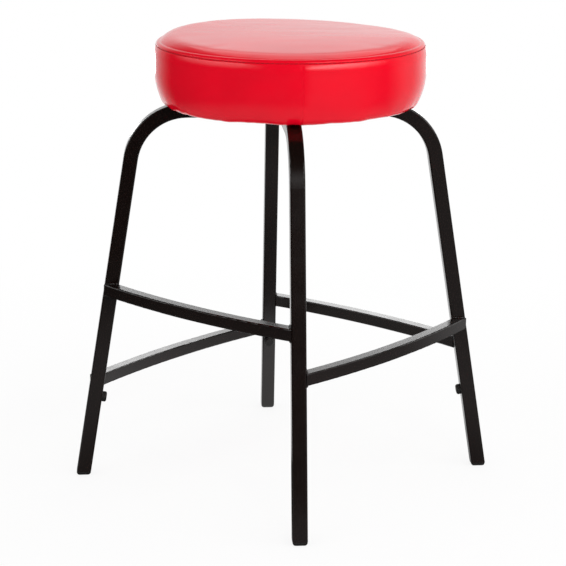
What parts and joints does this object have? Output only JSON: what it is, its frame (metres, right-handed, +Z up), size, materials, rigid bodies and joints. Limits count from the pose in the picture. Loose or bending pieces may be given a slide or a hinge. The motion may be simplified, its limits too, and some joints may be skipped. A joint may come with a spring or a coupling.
{
  "type": "round padded stool",
  "caption": "Round padded stool: a vinyl cushion on splayed legs of bent square tube, tied by outward-bowed rails that step round at different heights.",
  "frame": {"origin": "on the floor, on the vertical axis midway between the four feet", "axes": "+Z up; -Y towards the front leg, +X towards the right leg as seen from the front"},
  "size_m": [0.5618, 0.5618, 0.6005],
  "materials": {
    "frame_paint": "satin powder coat, black",
    "foot_plastic": "matte moulded plastic, black",
    "buffer_rubber": "matte rubber, black",
    "plywood": "raw plywood",
    "foam": "cut upholstery foam",
    "vinyl": "glossy red vinyl with a fine grain",
    "staple_wire": "bright wire",
    "fastener_zinc": "zinc plate"
  },
  "bodies": {
    "root": {"leg_hoop": "frame_paint", "leg_back": "frame_paint", "leg_front": "frame_paint", "weld_cross": "frame_paint", "foot_right": "foot_plastic", "buffer_right": "buffer_rubber", "foot_back": "foot_plastic", "buffer_back": "buffer_rubber", "foot_left": "foot_plastic", "buffer_left": "buffer_rubber", "foot_front": "foot_plastic", "buffer_front": "buffer_rubber", "rail_right_back": "frame_paint", "weld_right_back": "frame_paint", "rail_back_left": "frame_paint", "weld_back_left": "frame_paint", "rail_left_front": "frame_paint", "weld_left_front": "frame_paint", "rail_front_right": "frame_paint", "weld_front_right": "frame_paint", "seat_board": "plywood", "seat_foam": "foam", "cover_top": "vinyl", "cover_band": "vinyl", "cover_staples": "staple_wire", "seat_screw_right": "fastener_zinc", "washer_right": "fastener_zinc", "tee_nut_right": "fastener_zinc", "seat_screw_back": "fastener_zinc", "washer_back": "fastener_zinc", "tee_nut_back": "fastener_zinc", "seat_screw_left": "fastener_zinc", "washer_left": "fastener_zinc", "tee_nut_left": "fastener_zinc", "seat_screw_front": "fastener_zinc", "washer_front": "fastener_zinc", "tee_nut_front": "fastener_zinc"}
  },
  "joints": []
}
